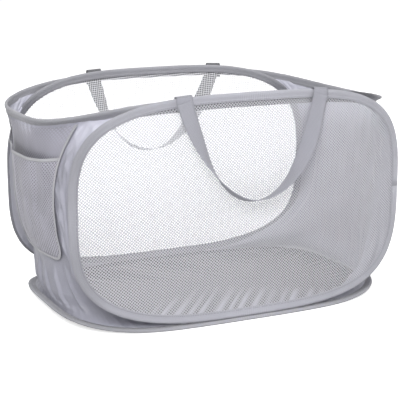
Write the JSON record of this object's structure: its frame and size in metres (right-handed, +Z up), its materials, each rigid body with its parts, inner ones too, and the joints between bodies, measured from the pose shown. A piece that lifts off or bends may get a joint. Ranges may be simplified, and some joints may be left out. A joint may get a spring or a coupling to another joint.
{
  "type": "pop up laundry hamper",
  "caption": "Long open laundry hamper that folds flat: net front and rear on spring wire loops, cloth ends and base, a net pocket on one end and two strap handles.",
  "frame": {"origin": "on the floor under the middle of the base", "axes": "+Z up, +X along the hamper away from the end with the pocket, -Y to the front, where the panel stands before the mouth ring"},
  "size_m": [0.61, 0.4299, 0.355],
  "materials": {
    "binding_tape": "woven polyester tape, folded over the wire and sewn",
    "net": "knitted polyester net with diamond gaps",
    "pocket_net": "knitted polyester net, close",
    "cloth": "woven polyester taffeta with a satin sheen",
    "webbing": "flat woven webbing",
    "spring_wire": "drawn spring steel wire",
    "wire_sleeve": "crimped steel sleeve"
  },
  "bodies": {
    "base": {"base_binding_tape": "binding_tape", "base_spring_wire": "spring_wire", "base_wire_sleeve": "wire_sleeve", "base_panel": "cloth", "left_end_panel": "cloth", "right_end_panel": "cloth", "pocket_back": "pocket_net", "pocket_pouch": "pocket_net", "pocket_mouth_hem": "binding_tape", "pocket_edge_trim": "binding_tape"},
    "front_panel": {"front_binding_tape": "binding_tape", "front_spring_wire": "spring_wire", "front_wire_sleeve": "wire_sleeve", "front_net_panel": "net", "front_handle_left_tab": "webbing", "front_handle_right_tab": "webbing"},
    "rear_panel": {"rear_binding_tape": "binding_tape", "rear_spring_wire": "spring_wire", "rear_wire_sleeve": "wire_sleeve", "rear_net_panel": "net"},
    "mouth_ring": {"mouth_binding_tape": "binding_tape", "mouth_spring_wire": "spring_wire", "mouth_wire_sleeve": "wire_sleeve", "rear_handle_left_tab": "webbing", "rear_handle_right_tab": "webbing"},
    "front_handle": {"front_handle_strap": "webbing"},
    "rear_handle": {"rear_handle_strap": "webbing"}
  },
  "joints": [
    {"name": "front_lean", "type": "hinge", "parent": "base", "child": "front_panel", "pos_m": [0, -0.183, 0.0087], "axis": [-1, 0, 0], "range_deg": [0, 56], "stiffness_Nm_per_rad": 2, "springref_deg": -11.46, "deforming": ["left_end_panel", "right_end_panel", "pocket_back", "pocket_pouch", "pocket_mouth_hem", "pocket_edge_trim"]},
    {"name": "rear_lean", "type": "hinge", "parent": "base", "child": "rear_panel", "pos_m": [0, 0.183, 0.0087], "axis": [-1, 0, 0], "range_deg": [0, 56]},
    {"name": "mouth_level", "type": "hinge", "parent": "rear_panel", "child": "mouth_ring", "pos_m": [0, 0.183, 0.3518], "axis": [1, 0, 0], "range_deg": [0, 56]},
    {"name": "front_handle_swing", "type": "hinge", "parent": "front_panel", "child": "front_handle", "pos_m": [0, -0.1866, 0.3486], "axis": [-1, 0, 0], "range_deg": [0, 170]},
    {"name": "rear_handle_swing", "type": "hinge", "parent": "mouth_ring", "child": "rear_handle", "pos_m": [0, 0.1954, 0.3435], "axis": [1, 0, 0], "range_deg": [0, 170]}
  ],
  "couplings": [
    {"joint": "rear_lean", "follows": "front_lean", "ratio": 1},
    {"joint": "mouth_level", "follows": "front_lean", "ratio": 1}
  ]
}
